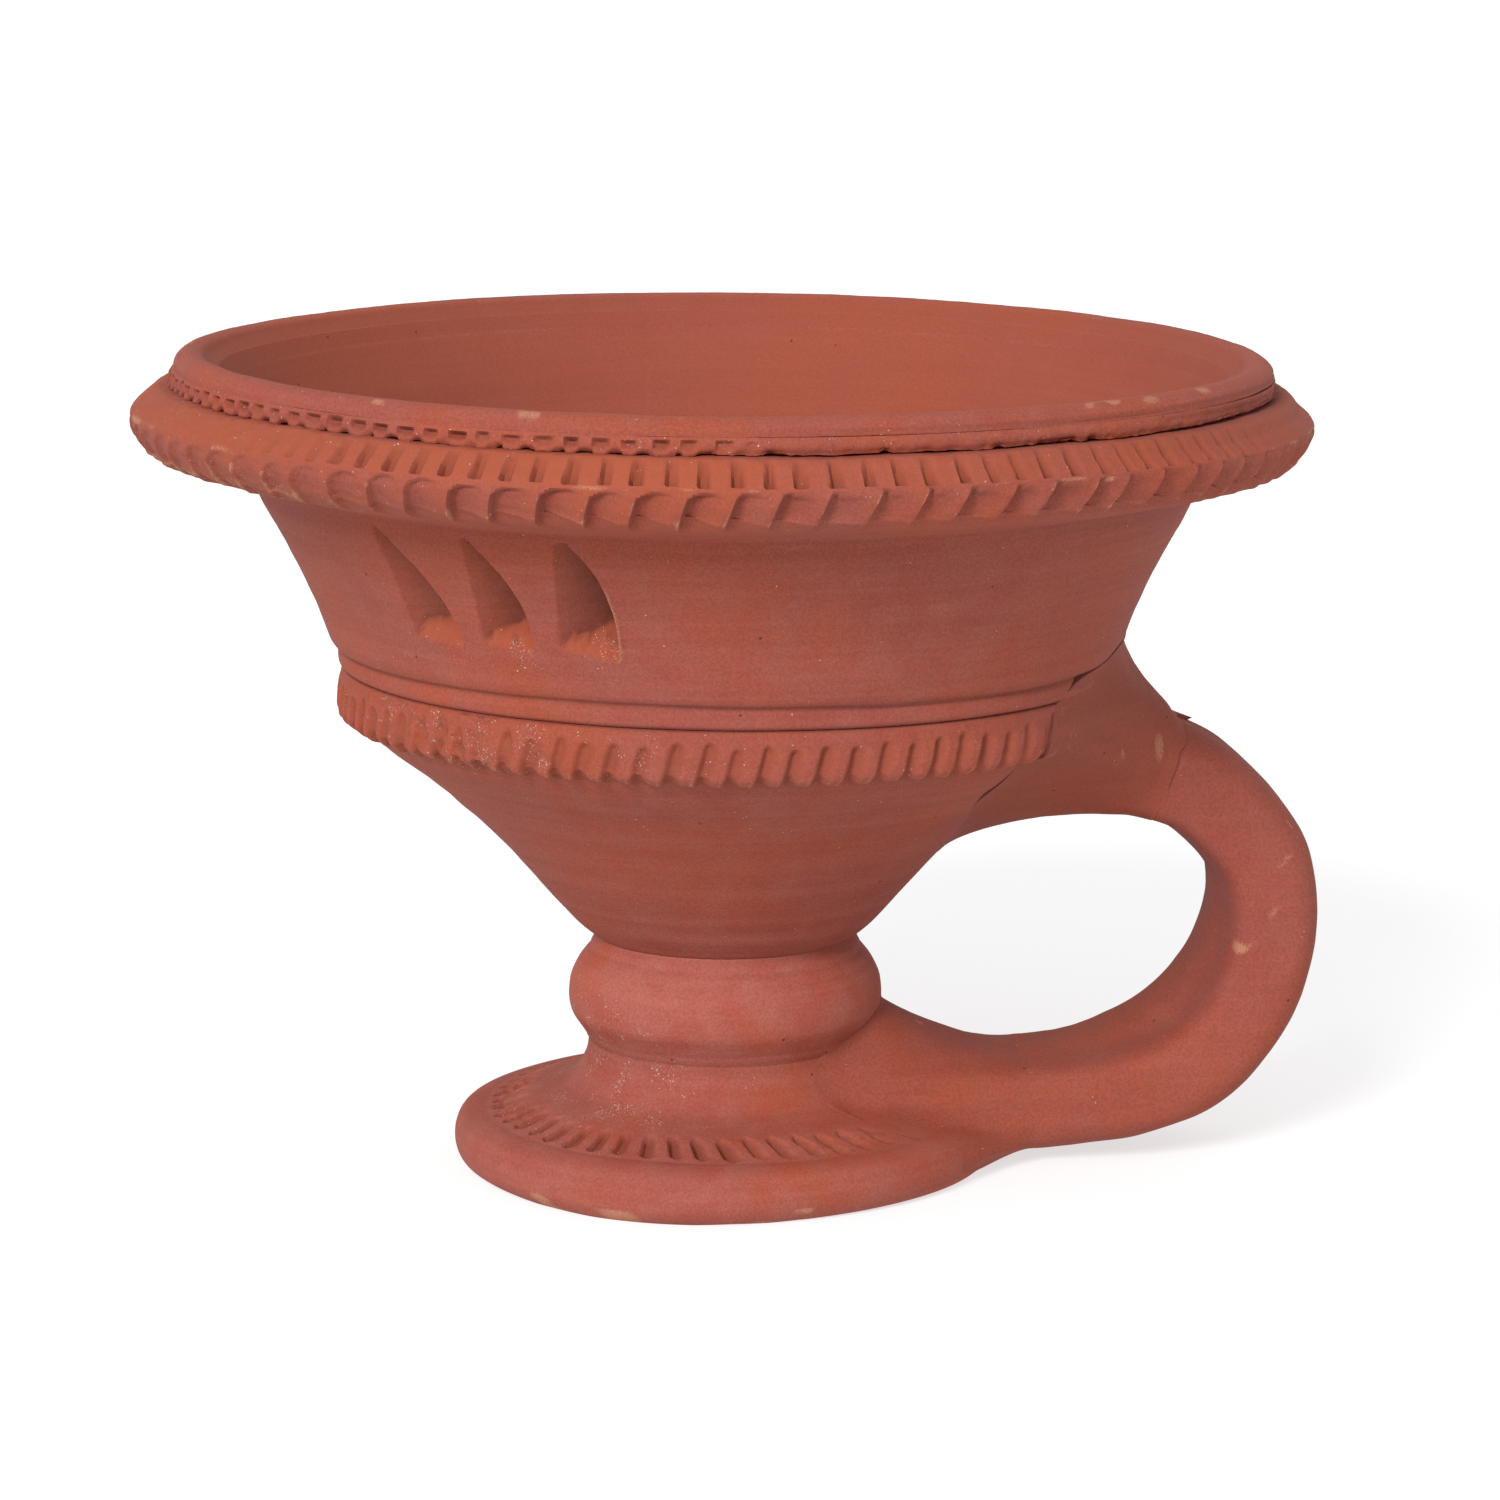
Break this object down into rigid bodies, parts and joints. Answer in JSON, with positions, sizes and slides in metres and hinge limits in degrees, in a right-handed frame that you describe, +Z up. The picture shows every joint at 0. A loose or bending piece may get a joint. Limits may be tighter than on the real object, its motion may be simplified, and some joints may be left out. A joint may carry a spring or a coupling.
{
  "type": "incense burner",
  "caption": "Open terracotta burner bowl with notched collar and gouged vents, on a hollow knopped pedestal, with a big loop handle at the side.",
  "frame": {"origin": "the bowl's axis, in the plane that the foot stands on", "axes": "+Z up along the bowl's axis, +X towards the handle, +Y to the left of the handle"},
  "size_m": [0.1812, 0.18, 0.125],
  "materials": {
    "clay_foot": "unglazed fired terracotta, matt, dusty, with pale salt specks",
    "clay_knop": "unglazed fired terracotta, matt, smoothed by hand",
    "clay_bowl": "unglazed fired terracotta, matt, with throwing lines",
    "clay_coil": "unglazed fired terracotta, matt, tool-pressed",
    "clay_collar": "unglazed fired terracotta, matt, tool-cut, with pale burrs",
    "clay_rim": "unglazed fired terracotta, matt, with pale scuffs on its crest",
    "clay_handle": "unglazed fired terracotta, matt, smoothed by hand"
  },
  "bodies": {
    "root": {"foot": "clay_foot", "stem_knop": "clay_knop", "lower_bowl": "clay_bowl", "waist_band": "clay_coil", "bowl_wall": "clay_bowl", "collar": "clay_collar", "rim_rope": "clay_coil", "rim_lip": "clay_rim", "handle_arch": "clay_handle", "handle_upper_wad": "clay_handle", "handle_lower_wad": "clay_handle"}
  },
  "joints": []
}
